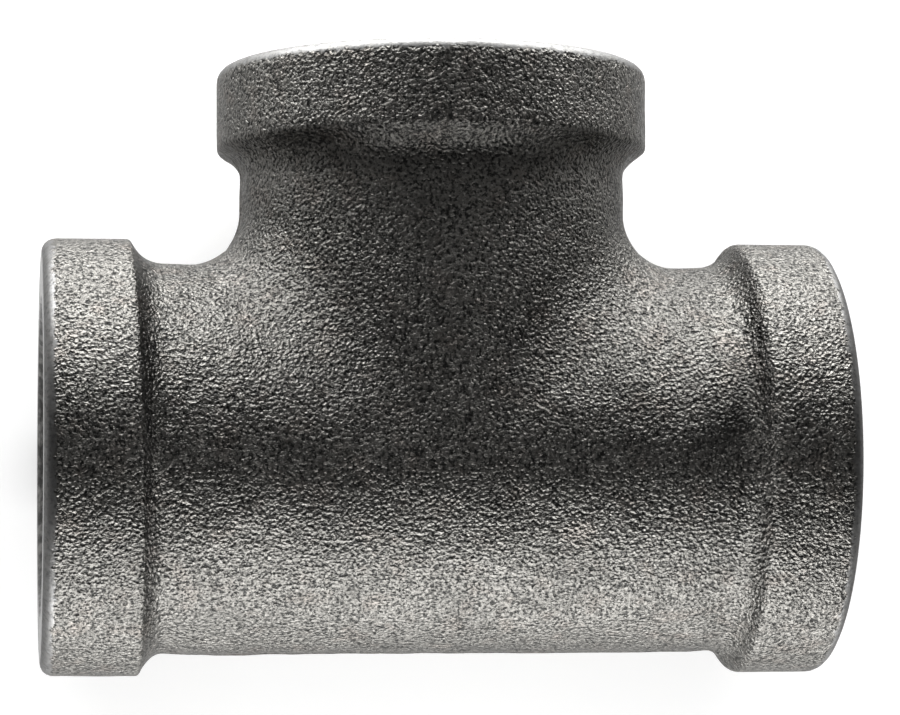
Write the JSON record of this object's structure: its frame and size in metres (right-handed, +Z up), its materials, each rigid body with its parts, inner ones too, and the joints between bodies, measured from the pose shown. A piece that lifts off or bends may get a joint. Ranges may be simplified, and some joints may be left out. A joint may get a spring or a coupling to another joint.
{
  "type": "threaded pipe tee",
  "caption": "Cast iron pipe tee: a straight run with a branch square to it, a bead round every end and a female pipe thread in each port.",
  "frame": {"origin": "the point where the axis of the run and the axis of the branch cross", "axes": "+X along the run, +Y along the branch towards its end, +Z up, square to both, as the tee lies on its beads"},
  "size_m": [0.0666, 0.0518, 0.037],
  "materials": {
    "casting": "as cast, shot-blasted and blackened, with a fine grain"
  },
  "bodies": {
    "root": {"tee_body": "casting"}
  },
  "joints": []
}
